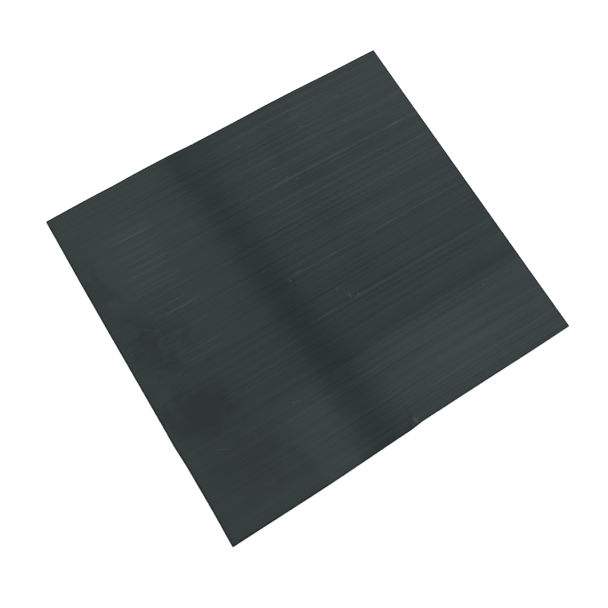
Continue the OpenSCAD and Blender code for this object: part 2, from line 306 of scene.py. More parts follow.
@dataclass(frozen=True)
class Mark:
    """A soft-edged spot, used for small scuffs and specks, painted highlights and patches of painted
    reflection and painted shade: its middle, its size, its turn and its brightness.
    """

    x: float
    y: float
    length: float
    width: float
    turn: float = 0.0
    strength: float = 1.0


@dataclass(frozen=True)
class Area:
    """A soft-edged area: the span over which each of its sides fades, and its brightness."""

    left: Span | None = None
    right: Span | None = None
    front: Span | None = None
    rear: Span | None = None
    strength: float = 1.0


@dataclass(frozen=True)
class Cloud:
    """Noise about 0: how fine it is along X and Y, how far it swings, how detailed it is."""

    fine_x: float
    fine_y: float
    swing: float
    detail: float = 2.0


# ------------------------------------------------------------ node trees


class Nodes:
    """A node tree, with short calls for what the finishes and the sky share."""

    def __init__(self, tree: bpy.types.NodeTree) -> None:
        """Takes a node tree to add to."""
        self.tree = tree

    def put(self, socket: Socket, value: object) -> None:
        """Links a socket, or sets a plain value on it.

        Args:
            socket: An input socket.
            value: An output socket, a number, a vector or a colour.
        """
        if isinstance(value, bpy.types.NodeSocket):
            self.tree.links.new(value, socket)
        elif socket.type == "RGBA":
            socket.default_value = (*value, 1.0)
        else:
            socket.default_value = value

    def node(self, kind: str, output: str, inputs: dict[str | int, object], **settings: object) -> Socket:
        """Adds one node.

        Args:
            kind: The node's type, without "ShaderNode".
            output: The name of the output that is wanted.
            inputs: Values or sockets for its inputs, by name or number.
            **settings: Its properties.

        Returns:
            The named output.
        """
        node = self.tree.nodes.new("ShaderNode" + kind)
        for name, value in settings.items():
            setattr(node, name, value)
        for name, value in inputs.items():
            self.put(node.inputs[name], value)
        return node.outputs[output]

    def noise(self, vector: Socket, scale: float = 1.0, detail: float = 2.0) -> Socket:
        """Noise between 0 and 1, around 0.5."""
        return self.node("TexNoise", "Fac", {"Vector": vector, "Scale": scale, "Detail": detail})

    def cells(self, vector: Socket, scale: float) -> Socket:
        """Distance from the nearest of many scattered points."""
        return self.node("TexVoronoi", "Distance", {"Vector": vector, "Scale": scale})

    def length(self, vector: Socket) -> Socket:
        """The length of a vector."""
        return self.node("VectorMath", "Value", {0: vector}, operation="LENGTH")

    def clamp(self, value: Socket) -> Socket:
        """A value kept from 0 to 1."""
        return self.node("Clamp", "Result", {"Value": value})

    def sums(self, operation: str, a: object, b: object = 0.0) -> Socket:
        """One Math node."""
        return self.node("Math", "Value", {0: a, 1: b}, operation=operation)

    def add(self, *terms: object) -> Socket:
        """The sum of some sockets or numbers."""
        return reduce(partial(self.sums, "ADD"), terms)

    def times(self, *terms: object) -> Socket:
        """The product of some sockets or numbers."""
        return reduce(partial(self.sums, "MULTIPLY"), terms)

    def weigh(self, base: float, layers: Sequence[Socket], shares: Sequence[float]) -> Socket:
        """A base with a share of each of some layers added to it."""
        return self.add(base, *[self.times(layer, share) for layer, share in zip(layers, shares)])

    def level(self, value: Socket) -> Socket:
        """Maps -1 to 0 and 1 to 1."""
        return self.weigh(0.5, (value,), (0.5,))

    def ribs(self, value: Socket, pitch: float) -> Socket:
        """Round ribs from 0 to 1, one for each pitch that the value grows by."""
        return self.sums("ABSOLUTE", self.sums("SINE", self.times(value, math.pi / pitch)))

    def band(self, value: Socket, low: float, high: float, start: float = 0.0, end: float = 1.0) -> Socket:
        """Maps low to start and high to end on a smooth curve that holds its ends."""
        ends = {"Value": value, "From Min": low, "From Max": high, "To Min": start, "To Max": end}
        return self.node("MapRange", "Result", ends, interpolation_type="SMOOTHSTEP")

    def fade(self, value: Socket, low: float, high: float) -> Socket:
        """1 up to low, falling smoothly to 0 at high."""
        return self.band(value, low, high, 1.0, 0.0)

    def vary(self, value: Socket, edge: Span, middle: float, swings: Span) -> Socket:
        """A middle value, with the first swing added at the edge's start and the second at its end."""
        return self.band(value, *edge, *[middle + swing for swing in swings])

    def split(self, vector: Socket) -> tuple[Socket, Socket, Socket]:
        """The x, y and z of a vector.

        Args:
            vector: The vector.

        Returns:
            Its three parts.
        """
        node = self.tree.nodes.new("ShaderNodeSeparateXYZ")
        self.tree.links.new(vector, node.inputs["Vector"])
        return node.outputs["X"], node.outputs["Y"], node.outputs["Z"]

    def join(self, x: object, y: object, z: object = 0.0) -> Socket:
        """A vector from x, y and z."""
        return self.node("CombineXYZ", "Vector", {"X": x, "Y": y, "Z": z})

    def blend(self, amount: object, a: object, b: object) -> Socket:
        """Mixes two colours.

        Args:
            amount: 0 for all a, 1 for all b.
            a: A colour or a socket.
            b: A colour or a socket.

        Returns:
            The mixed colour.
        """
        node = self.tree.nodes.new("ShaderNodeMix")
        node.data_type = "RGBA"
        for index, value in zip(MIX_INPUTS, (amount, a, b)):
            self.put(node.inputs[index], value)
        return node.outputs[MIX_OUTPUT]

    def area(self, x: Socket, y: Socket, area: Area) -> Socket:
        """A soft-edged area.

        Args:
            x: Place along X.
            y: Place along Y.
            area: The area.

        Returns:
            Its strength inside it, 0 outside it.
        """
        rising = [self.band(place, *span) for place, span in ((x, area.left), (y, area.front)) if span]
        falling = [self.fade(place, *span) for place, span in ((x, area.right), (y, area.rear)) if span]
        return self.times(*rising, *falling, area.strength)

    def clouded(self, x: Socket, y: Socket, cloud: Cloud) -> Socket:
        """A cloud's noise, about 0, at each place along X and Y."""
        cell = self.join(self.times(x, cloud.fine_x), self.times(y, cloud.fine_y))
        return self.times(self.add(self.noise(cell, detail=cloud.detail), -0.5), cloud.swing)

    def relief(
        self, height: Socket, depth: float, strength: float = 1.0, under: Socket | None = None
    ) -> Socket:
        """A bump, over another bump if one is given.

        Args:
            height: Its height, from 0 to 1.
            depth: The depth in metres that 1 stands for.
            strength: How much of it is used.
            under: The normal that it lies on.

        Returns:
            The new normal.
        """
        inputs = {"Height": height, "Distance": depth, "Strength": strength}
        if under is not None:
            inputs["Normal"] = under
        return self.node("Bump", "Normal", inputs)

    def peaks(self, value: Socket, lines: Sequence[Line], span: float) -> Socket:
        """A narrow peak, up or down, at each of some places along a value.

        Args:
            value: The value, from minus span to span.
            lines: The places, with no two overlapping.
            span: Half the range of the value.

        Returns:
            0 between the lines, and each line's strength at its middle.
        """
        if len(lines) > RAMP_LINES:
            first, rest = lines[:RAMP_LINES], lines[RAMP_LINES:]
            return self.add(self.peaks(value, first, span), self.peaks(value, rest, span))
        scaled = self.node("MapRange", "Result", {"Value": value, "From Min": -span, "From Max": span})
        node = self.tree.nodes.new("ShaderNodeValToRGB")
        ramp = node.color_ramp
        for element in ramp.elements:
            element.color = (0.5, 0.5, 0.5, 1.0)
        for line in lines:
            middle, half = (line.y + span) / (2 * span), line.width / (4 * span)
            for offset, level in ((-half, 0.5), (0.0, 0.5 + line.strength / 2), (half, 0.5)):
                ramp.elements.new(middle + offset).color = (level, level, level, 1.0)
        self.put(node.inputs["Fac"], scaled)
        return self.times(self.sums("SUBTRACT", node.outputs["Color"], 0.5), 2.0)


class Graph(Nodes):
    """A material's node tree, round one Principled shader."""

    def __init__(self, name: str) -> None:
        """Starts a material with a Principled shader joined to its output.

        Args:
            name: The material's name.
        """
        self.finish = bpy.data.materials.new(name)
        self.finish.use_nodes = True
        super().__init__(self.finish.node_tree)
        self.tree.nodes.clear()
        output = self.tree.nodes.new("ShaderNodeOutputMaterial")
        self.shader = self.tree.nodes.new("ShaderNodeBsdfPrincipled")
        self.tree.links.new(self.shader.outputs["BSDF"], output.inputs["Surface"])
        self.place = self.tree.nodes.new("ShaderNodeTexCoord").outputs["Object"]

    def follow(self, uv_map: str) -> None:
        """Reads places from a flat map from here on: U along Y and V along X, both raised."""
        u, v, _ = self.split(self.node("UVMap", "UV", {}, uv_map=uv_map))
        self.place = self.join(self.add(v, -MAP_RAISE), self.add(u, -MAP_RAISE))

    def mapped(self, scale: Sequence[float] = (1.0, 1.0, 1.0), turn: float = 0.0) -> Socket:
        """The places that this material reads, turned about Z, then scaled.

        Args:
            scale: How many units of pattern a metre holds along each axis.
            turn: The pattern's turn in degrees.

        Returns:
            The pattern's own coordinates.
        """
        cell = tuple(1.0 / part for part in scale)
        placed = {"Vector": self.place, "Scale": cell, "Rotation": (0.0, 0.0, math.radians(turn))}
        return self.node("Mapping", "Vector", placed, vector_type="TEXTURE")

    def dress(self, **values: object) -> Finish:
        """Sets the shader's sockets; an underscore in a name stands for a space.

        Args:
            **values: The sockets' names and what goes in them.

        Returns:
            The material.
        """
        for name, value in values.items():
            self.put(self.shader.inputs[name.replace("_", " ")], value)
        return self.finish


# ------------------------------------------------------------ the top film


@dataclass(frozen=True)
class SatinTopFilm:
    """The top cover's satin vinyl film, with die lines, rub marks, scuffs and specks, and with painted
    reflection, painted shade and painted highlights in its colour.
    """

    name: str = "satin_top_film"
    dark: Colour = (0.0008, 0.0030, 0.0032)
    pale_left: Colour = (0.0335, 0.0449, 0.0416)
    # Painted sheen tint: the pale colour turns bluer towards the right, where the lamps' bluish sheen falls.
    pale_right_with_sheen_tint: Colour = (0.0335, 0.0435, 0.0480)
    left_to_right: Span = (-0.20, 0.10)
    base_tone: float = 0.55
    tone_scale: float = 0.625
    tint: Colour = (0.70, 0.98, 1.0)
    roughness: float = 0.31
    rough_shares: Sequence[float] = (-0.02, 0.10, 0.06, 0.02)
    anisotropy: float = 0.95
    refraction: float = 1.36
    gloss: float = 0.50
    gloss_roughness: float = 0.13
    grain_scale: float = 1400.0
    grain_depth: float = 0.00001
    grain_strength: float = 0.3
    ruled_depth: float = 0.00003
    ruled_strength: float = 0.5
    # Where the rim band starts and ends, and how far its colour is darkened: painted shade for the dark
    # edge. The band also loses the gloss coat.
    rim: Span = (0.00162, 0.0027)
    rim_shade_tone: float = -0.55
    fall: float = 0.012
    drift: Cloud = Cloud(7.0, 0.8, 0.0035, detail=1.0)
    strong_lines: Sequence[Line] = (
        Line(0.2178, 0.0018, 0.46), Line(0.1693, 0.0016, 0.40), Line(0.1655, 0.0014, 0.37),
        Line(0.1608, 0.0016, 0.46), Line(0.1285, 0.0045, 0.57), Line(0.1043, 0.0016, 0.46),
        Line(0.0936, 0.0014, 0.29), Line(0.0736, 0.0016, 0.57), Line(0.0194, 0.0018, 0.69),
        Line(0.0070, 0.0019, 0.92),
    )
    faint_lines: Sequence[Line] = (
        Line(0.1845, 0.0016, 0.25), Line(0.0840, 0.0018, 0.32), Line(0.0710, 0.0016, -0.34),
        Line(0.0460, 0.0016, 0.40), Line(-0.0400, 0.0016, 0.23), Line(-0.0580, 0.0024, 0.37),
        Line(-0.1225, 0.0022, -0.41), Line(-0.1470, 0.0019, -0.34), Line(-0.1717, 0.0019, 0.34),
        Line(-0.1905, 0.0021, 0.28),
    )
    # Painted sheen: the lines grow brighter from about x = -0.036, where the lamps' reflection on them
    # starts.
    line_sheen_edge: Ramp = (-0.036, -0.018, 0.14, 1.0)
    break_scale: Point = (26.0, 90.0, 1.0)
    line_breaks: Ramp = (0.30, 0.62, 0.30, 1.90)
    fine_lines: Sequence[Cloud] = (Cloud(4.0, 640.0, 1.35), Cloud(2.5, 230.0, 0.82), Cloud(1.5, 45.0, 0.48))
    # Painted sheen: the fine lines grow brighter towards +X, where the lamps' reflection falls.
    fine_line_sheen_edge: Ramp = (-0.16, 0.02, 0.42, 0.96)
    rub_streaks: Sequence[Line] = (
        Line(0.1710, 0.0050, 0.34), Line(0.1630, 0.0034, 0.80), Line(0.1480, 0.0024, 0.34),
        Line(0.1400, 0.0030, 0.30), Line(0.1300, 0.0024, 0.60), Line(0.1200, 0.0036, 0.55),
        Line(0.1110, 0.0026, 0.80), Line(0.0975, 0.0030, 0.36), Line(0.0900, 0.0024, 0.28),
        Line(0.0845, 0.0024, 0.60), Line(0.0740, 0.0030, 0.34), Line(0.0585, 0.0028, 0.75),
        Line(0.0470, 0.0038, 0.80), Line(0.0195, 0.0030, 0.50), Line(-0.0060, 0.0024, 0.42),
        Line(-0.0110, 0.0024, 0.50), Line(-0.0215, 0.0030, 0.80),
    )
    rub_area: Area = Area(left=(-0.212, -0.188), right=(-0.152, -0.138))
    rub_ends: Cloud = Cloud(0.0, 110.0, 0.085)
    hairline_turns: Sequence[float] = (32.0, -38.0, 8.0)
    hairline_scale: Point = (34.0, 330.0, 1.0)
    hairline_edge: Span = (0.60, 0.68)
    hairline_area: Area = Area((-0.252, -0.232), (-0.195, -0.172), (-0.060, -0.020), (0.040, 0.070), 0.28)
    marks: Sequence[Mark] = (
        Mark(0.103, 0.2040, 0.0100, 0.0013, 0.0, 1.0),
        Mark(0.170, 0.2030, 0.0100, 0.0013, 0.0, 0.9),
        Mark(0.014, 0.2045, 0.0080, 0.0011, 0.0, 0.7),
        Mark(-0.072, 0.1870, 0.0040, 0.0011, 0.0, 0.5),
        Mark(-0.033, 0.1510, 0.0030, 0.0011, 0.0, 0.5),
        Mark(0.144, -0.0185, 0.0060, 0.0012, 0.0, 0.4),
        Mark(0.063, -0.0130, 0.0020, 0.0011, 0.0, 0.5),
        Mark(0.109, -0.0910, 0.0060, 0.0011, 0.0, 0.3),
        Mark(0.104, 0.1870, 0.0035, 0.0015, 0.0, 1.0),
        Mark(0.206, 0.1818, 0.0110, 0.0010, 0.0, 0.7),
        Mark(0.221, 0.1262, 0.0080, 0.0020, 0.0, 0.5),
        Mark(-0.0115, 0.0095, 0.0080, 0.0022, 0.0, 0.6),
        Mark(-0.0262, 0.0040, 0.0026, 0.0018, 20.0, 1.5),
        Mark(0.0585, 0.1232, 0.0018, 0.0022, 0.0, 1.0),
        Mark(0.0460, 0.1300, 0.0050, 0.0060, 0.0, 0.25),
        Mark(0.0372, 0.1520, 0.0022, 0.0030, 0.0, 0.55),
        Mark(0.0410, -0.0570, 0.0030, 0.0024, 10.0, 0.9),
        Mark(0.0310, -0.0520, 0.0030, 0.0058, -15.0, 0.8),
        Mark(0.0210, -0.0370, 0.0030, 0.0060, -35.0, 0.40),
        Mark(0.1930, -0.1330, 0.0024, 0.0015, -25.0, 1.5),
        Mark(-0.1060, -0.1322, 0.0021, 0.0014, 10.0, 1.3),
        Mark(-0.2050, -0.0058, 0.0018, 0.0012, 0.0, 0.6),
        Mark(-0.1680, -0.1420, 0.0010, 0.0050, 8.0, 0.45),
        Mark(-0.2110, -0.1360, 0.0130, 0.0014, -28.0, 0.40),
        Mark(-0.2050, -0.1480, 0.0100, 0.0012, -5.0, 0.25),
        # Painted highlight: the bright spot on the front edge where its small lift catches the light.
        Mark(0.0135, -0.2335, 0.0042, 0.0072, 12.0, 0.9),
    )
    specks: Sequence[Mark] = (
        Mark(-0.248, 0.025, 0.0014, 0.0014, 0.0, 0.9),
        Mark(-0.203, 0.221, 0.0013, 0.0013, 0.0, 0.8),
        Mark(-0.240, 0.224, 0.0012, 0.0012, 0.0, 0.8),
        Mark(-0.165, 0.219, 0.0012, 0.0012, 0.0, 0.7),
    )
    mark_edge: Span = (0.2, 1.0)
    # Rougher spots along the left edge. Their darkening of the colour is painted shade.
    rough_shaded_spots: Sequence[Mark] = (
        Mark(-0.207, -0.083, 0.066, 0.048, 0.0, 0.75),
        Mark(-0.236, 0.030, 0.044, 0.070, 10.0, 0.50),
        Mark(-0.252, 0.122, 0.030, 0.070, 0.0, 0.52),
        Mark(-0.198, 0.020, 0.056, 0.086, 0.0, 0.42),
        Mark(-0.196, -0.155, 0.076, 0.068, 0.0, 0.42),
        # Painted highlight: this spot lightens the colour at the kink in the left edge.
        Mark(-0.258, -0.096, 0.018, 0.024, 0.0, -0.50),
    )
    # How far the rough spots darken the colour: painted shade.
    rough_spot_shade: float = -0.56
    # Painted reflection: broad lighter blooms in the colour towards the front, where the lamps' sheen falls.
    painted_reflection_blooms: Sequence[Mark] = (
        Mark(0.110, -0.178, 0.120, 0.062, 0.0, 0.18),
        Mark(-0.022, -0.190, 0.070, 0.075, 0.0, 0.17),
    )
    clouds: Cloud = Cloud(9.0, 5.0, 0.16, detail=4.0)
    warp: Cloud = Cloud(22.0, 22.0, 0.05, detail=4.0)
    torn: Cloud = Cloud(38.0, 30.0, 0.08, detail=5.0)
    shaded_spot_warp: tuple[float, float] = (1.2, -0.9)
    # Painted reflection: a lighter patch at the rear left, where the lamps' sheen falls.
    painted_rear_left_reflection: Area = Area((-0.245, -0.215), (-0.160, -0.135), (0.075, 0.120), (0.180, 0.215), 0.12)
    # Painted reflection: a lighter column towards the front left, where the lamps' sheen falls.
    painted_front_column_reflection: Area = Area(
        left=(-0.138, -0.108), right=(-0.085, -0.060), rear=(-0.165, -0.110), strength=0.30
    )
    # Painted reflection: the front right is lighter, where the lamps' sheen falls.
    painted_front_right_reflection: Area = Area(left=(-0.030, 0.040), rear=(-0.126, -0.120), strength=0.28)
    # Painted shade: a darker strip right of the middle.
    painted_dim_strip_shade: Area = Area(left=(0.035, 0.055), right=(0.085, 0.115), front=(-0.085, -0.060), strength=-0.08)
    # Painted shade: the colour is darker towards the front, easing off at the front edge.
    painted_front_half_shade: Area = Area(rear=(-0.110, 0.120), strength=-0.14)
    painted_front_half_shade_edge: Ramp = (-0.150, -0.105, 0.40, 1.0)

    def spot(self, g: Graph, mark: Mark, place: Socket | None = None) -> Socket:
        """One soft-edged mark.

        Args:
            g: The node tree.
            mark: The mark.
            place: Where each point is taken to be, or None for where it is.

        Returns:
            Its strength at its middle, 0 outside it.
        """
        placed = {
            "Vector": place or g.place,
            "Location": (mark.x, mark.y, 0.0),
            "Rotation": (0.0, 0.0, math.radians(mark.turn)),
            "Scale": (mark.length, mark.width, 1.0),
        }
        local = g.node("Mapping", "Vector", placed, vector_type="TEXTURE")
        return g.band(g.length(local), *self.mark_edge, mark.strength, 0.0)

    def ruling(self, g: Graph, x: Socket, line_y: Socket) -> Socket:
        """The lines that the die and the rollers have left along X; their brightness in the colour is partly
        painted sheen.

        Args:
            g: The node tree.
            x: Place along X.
            line_y: Place along Y, made straight along a line.

        Returns:
            The lines' brightness, about 0; its growth towards +X is painted sheen.
        """
        lines = g.add(*[g.peaks(line_y, some, HALF_DEEP) for some in (self.strong_lines, self.faint_lines)])
        broken = g.band(g.noise(g.mapped(self.break_scale)), *self.line_breaks)
        fine = g.add(*[g.clouded(x, line_y, cloud) for cloud in self.fine_lines])
        return g.add(
            g.times(lines, broken, g.band(x, *self.line_sheen_edge)),
            g.times(fine, g.band(x, *self.fine_line_sheen_edge)),
        )

    def rubbing(self, g: Graph, x: Socket, y: Socket, line_y: Socket) -> Socket:
        """Short streaks where the rolled-up mat has rubbed, and crossed hairlines.

        Args:
            g: The node tree.
            x: Place along X.
            y: Place along Y.
            line_y: Place along Y, made straight along a line.

        Returns:
            The streaks' brightness.
        """
        ragged_x = g.add(x, g.clouded(x, line_y, self.rub_ends))
        streaks = g.times(g.peaks(line_y, self.rub_streaks, HALF_DEEP), g.area(ragged_x, y, self.rub_area))
        hairs = [
            g.band(g.noise(g.mapped(self.hairline_scale, turn)), *self.hairline_edge)
            for turn in self.hairline_turns
        ]
        return g.add(streaks, g.times(g.add(*hairs), g.area(x, y, self.hairline_area)))

    def haze_and_painted_reflections(self, g: Graph, x: Socket, y: Socket) -> tuple[Socket, Socket]:
        """Broad, faint clouding; soft areas and blooms of painted reflection and painted shade; and a
        rougher patch along the left edge whose darkening is painted shade.

        Args:
            g: The node tree.
            x: Place along X.
            y: Place along Y.

        Returns:
            The brightness of the clouding and of the painted reflection and shade, about 0, and how strong
            the rough, painted-shade patch is, from 0 to 1.
        """
        warp = g.clouded(x, y, self.warp)
        torn = g.clouded(x, y, self.torn)
        warped_x, warped_y = g.add(x, warp), g.add(y, warp)
        push_x, push_y = (g.times(warp, push) for push in self.shaded_spot_warp)
        ragged = g.join(g.add(x, push_x, torn), g.sums("SUBTRACT", g.add(y, push_y), torn))
        # Rough spots; their darkening of the colour is painted shade, and the one with a negative strength
        # is a painted highlight.
        dull = g.add(*[self.spot(g, mark, ragged) for mark in self.rough_shaded_spots])
        # Apart from the random clouding, the areas, spots and blooms added here are painted reflection and
        # painted shade in the colour.
        pale = g.add(
            g.clouded(x, y, self.clouds),
            g.area(warped_x, warped_y, self.painted_rear_left_reflection),
            g.area(warped_x, warped_y, self.painted_front_column_reflection),
            g.area(warped_x, y, self.painted_front_right_reflection),
            g.area(x, y, self.painted_dim_strip_shade),
            g.times(g.area(x, y, self.painted_front_half_shade), g.band(y, *self.painted_front_half_shade_edge)),
            g.times(dull, self.rough_spot_shade),
            *[self.spot(g, mark) for mark in self.painted_reflection_blooms],
        )
        return pale, dull

    def make(self) -> Finish:
        """Builds the material.

        Returns:
            The material. Its gloss is stretched across the lines, so a lamp's edge stays
            crisp along X and smears along Y.
        """
        g = Graph(self.name)
        g.follow(FLAT_MAP)
        x, y, _ = g.split(g.place)
        line_y = g.add(y, g.times(x, self.fall), g.clouded(x, y, self.drift))
        ruled = self.ruling(g, x, line_y)
        rubbed = self.rubbing(g, x, y, line_y)
        spots = g.add(*[self.spot(g, mark) for mark in (*self.marks, *self.specks)])
        pale, dull = self.haze_and_painted_reflections(g, x, y)
        grain = g.noise(g.place, self.grain_scale)
        margins = [
            g.sums("SUBTRACT", half, g.sums("ABSOLUTE", place))
            for half, place in ((HALF_WIDE, x), (HALF_DEEP, y))
        ]
        # Painted shade: the colour darkens in a narrow band along the rim, and the gloss coat is taken off
        # there.
        painted_rim_shade = g.fade(g.sums("MINIMUM", *margins), *self.rim)
        tone = g.add(self.base_tone, ruled, rubbed, spots, pale, g.times(painted_rim_shade, self.rim_shade_tone))
        # Painted sheen tint: the pale colour turns from greener at the left to bluer at the right.
        light = g.blend(g.band(x, *self.left_to_right), self.pale_left, self.pale_right_with_sheen_tint)
        lines_bump = g.relief(g.level(ruled), self.ruled_depth, self.ruled_strength)
        normal = g.relief(grain, self.grain_depth, self.grain_strength, lines_bump)
        return g.dress(
            Base_Color=g.blend(g.clamp(g.times(tone, self.tone_scale)), self.dark, light),
            Roughness=g.weigh(self.roughness, (ruled, g.add(rubbed, spots), dull, grain), self.rough_shares),
            Normal=normal,
            IOR=self.refraction,
            Specular_Tint=self.tint,
            Anisotropic=self.anisotropy,
            Tangent=g.node("Tangent", "Tangent", {}, direction_type="UV_MAP", uv_map=FLAT_MAP),
            Coat_Weight=g.times(g.sums("SUBTRACT", 1.0, painted_rim_shade), self.gloss),
            Coat_Roughness=self.gloss_roughness,
            Coat_Normal=normal,
        )


# ------------------------------------------------------------ other finishes


@dataclass(frozen=True)
class EmbossedUnderside:
    """Matte vinyl with a fine raised diamond pattern that grips the bench."""

    name: str = "embossed_underside"
    dark: Colour = (0.010, 0.012, 0.013)
    pale: Colour = (0.020, 0.023, 0.024)
    tone_shares: Sequence[float] = (0.35, 0.5, 0.2)
    roughness: float = 0.56
    rough_shares: Sequence[float] = (-0.10, 0.12)
    pitch: float = 0.0024
    turn: float = 45.0
    stud_edge: Span = (0.25, 0.75)
    depth: float = 0.00012
    depth_shares: Sequence[float] = (1.0, 0.15)
    grain_scale: float = 1500.0
    dust_scale: float = 22.0
    dust_edge: Span = (0.4, 0.7)

    def make(self) -> Finish:
        """Builds the material.

        Returns:
            The material.
        """
        g = Graph(self.name)
        turned = g.split(g.mapped(turn=self.turn))[:2]
        stud = g.band(g.times(*[g.ribs(part, self.pitch) for part in turned]), *self.stud_edge)
        grain = g.noise(g.place, self.grain_scale)
        dust = g.band(g.noise(g.place, self.dust_scale, detail=4.0), *self.dust_edge)
        return g.dress(
            Base_Color=g.blend(g.weigh(0.0, (stud, dust, grain), self.tone_shares), self.dark, self.pale),
            Roughness=g.weigh(self.roughness, (stud, grain), self.rough_shares),
            Normal=g.relief(g.weigh(0.0, (stud, grain), self.depth_shares), self.depth),
        )


@dataclass(frozen=True)
class GrainedPlastic:
    """Plastic or rubber with a fine grain and slightly uneven colour."""

    name: str
    dark: Colour
    pale: Colour
    roughness: float
    grain_scale: Sequence[float] = (1500.0, 1500.0, 1500.0)
    grain_depth: float = 0.00003
    grain_strength: float = 0.7
    cloud_scale: float = 60.0
    alpha: float = 1.0
    contrast: Span = (0.3, 0.7)
    tone_shares: Sequence[float] = (0.65, 0.35)
    rough_shares: Sequence[float] = (0.4, 1.0)
    rough_edge: Span = (0.5, 0.9)
    rough_swings: Span = (-0.07, 0.08)

    def make(self) -> Finish:
        """Builds the material.

        Returns:
            The material.
        """
        g = Graph(self.name)
        cloud = g.noise(g.place, self.cloud_scale, detail=4.0)
        grain = g.noise(g.mapped(self.grain_scale), detail=3.0)
        tone = g.weigh(0.0, [g.band(layer, *self.contrast) for layer in (cloud, grain)], self.tone_shares)
        worn = g.weigh(0.0, (cloud, grain), self.rough_shares)
        return g.dress(
            Base_Color=g.blend(tone, self.dark, self.pale),
            Roughness=g.vary(worn, self.rough_edge, self.roughness, self.rough_swings),
            Normal=g.relief(grain, self.grain_depth, self.grain_strength),
            Alpha=self.alpha,
        )


@dataclass(frozen=True)
class CellularSheet:
    """Foam or adhesive with closed cells or small bubbles."""

    name: str
    wall: Colour
    hollow: Colour
    cell_scale: float
    depth: float
    roughness: float
    small_cells: float = 2.6
    cell_shares: Sequence[float] = (0.7, 0.3)
    cell_edge: Span = (0.15, 0.5)
    cloud_scale: float = 40.0
    tone_shares: Sequence[float] = (0.6, 0.4)
    rough_edge: Span = (0.1, 0.5)
    rough_swings: Span = (-0.08, 0.06)

    def make(self) -> Finish:
        """Builds the material.

        Returns:
            The material.
        """
        g = Graph(self.name)
        cells = [g.cells(g.place, self.cell_scale * finer) for finer in (1.0, self.small_cells)]
        height = g.weigh(0.0, cells, self.cell_shares)
        cloud = g.noise(g.place, self.cloud_scale, detail=3.0)
        tone = g.weigh(0.0, (g.band(height, *self.cell_edge), cloud), self.tone_shares)
        return g.dress(
            Base_Color=g.blend(tone, self.hollow, self.wall),
            Roughness=g.vary(height, self.rough_edge, self.roughness, self.rough_swings),
            Normal=g.relief(height, self.depth),
        )


@dataclass(frozen=True)
class WorkedMetal:
    """Rolled, drawn or plated metal with fine streaks and a little tarnish."""

    name: str
    bright: Colour
    dull: Colour
    roughness: float
    streaks: Sequence[float] = (60.0, 2500.0, 2500.0)
    tarnish_scale: float = 160.0
    tarnish_shares: Sequence[float] = (1.0, 0.2)
    tarnish_edge: Span = (0.45, 0.85)
    tarnish_roughness: float = 0.08
    streak_edge: Span = (0.3, 0.7)
    streak_depth: float = 0.000006
    streak_strength: float = 0.6
    rough_swings: Span = (-0.06, 0.06)

    def make(self) -> Finish:
        """Builds the material.

        Returns:
            The material.
        """
        g = Graph(self.name)
        streaks = g.noise(g.mapped(self.streaks), detail=3.0)
        tarnish = g.noise(g.place, self.tarnish_scale, detail=4.0)
        stain = g.band(g.weigh(0.0, (tarnish, streaks), self.tarnish_shares), *self.tarnish_edge)
        drawn = g.vary(streaks, self.streak_edge, self.roughness, self.rough_swings)
        return g.dress(
            Base_Color=g.blend(stain, self.bright, self.dull),
            Roughness=g.add(drawn, g.times(tarnish, self.tarnish_roughness)),
            Normal=g.relief(streaks, self.streak_depth, self.streak_strength),
            Metallic=1.0,
        )


@dataclass(frozen=True)
class TurnedSteel:
    """Steel screw heads with turned rings round each screw's own axis."""

    name: str = "turned_steel"
    clean: Colour = (0.56, 0.56, 0.55)
    stained: Colour = (0.34, 0.33, 0.31)
    stain_scale: float = 700.0
    stain_edge: Span = (0.35, 0.75)
    roughness: float = 0.26
    rough_shares: Sequence[float] = (0.16, 0.03)
    axis_x: float = 0.0279
    axis_y: float = 0.2190
    axis_dy: float = 0.0089
    ring_pitch: float = 0.00016
    ring_depth: float = 0.000008
    ring_strength: float = 0.7

    def make(self) -> Finish:
        """Builds the material.

        Returns:
            The material.
        """
        g = Graph(self.name)
        x, y, _ = g.split(g.place)
        off_x = g.add(g.sums("ABSOLUTE", x), -self.axis_x)
        off_y = g.add(g.sums("ABSOLUTE", g.add(y, -self.axis_y)), -self.axis_dy)
        rings = g.sums("SINE", g.times(g.length(g.join(off_x, off_y)), 2 * math.pi / self.ring_pitch))
        stain = g.noise(g.place, self.stain_scale, detail=4.0)
        return g.dress(
            Base_Color=g.blend(g.band(stain, *self.stain_edge), self.clean, self.stained),
            Roughness=g.weigh(self.roughness, (stain, rings), self.rough_shares),
            Normal=g.relief(g.level(rings), self.ring_depth, self.ring_strength),
            Metallic=1.0,
        )


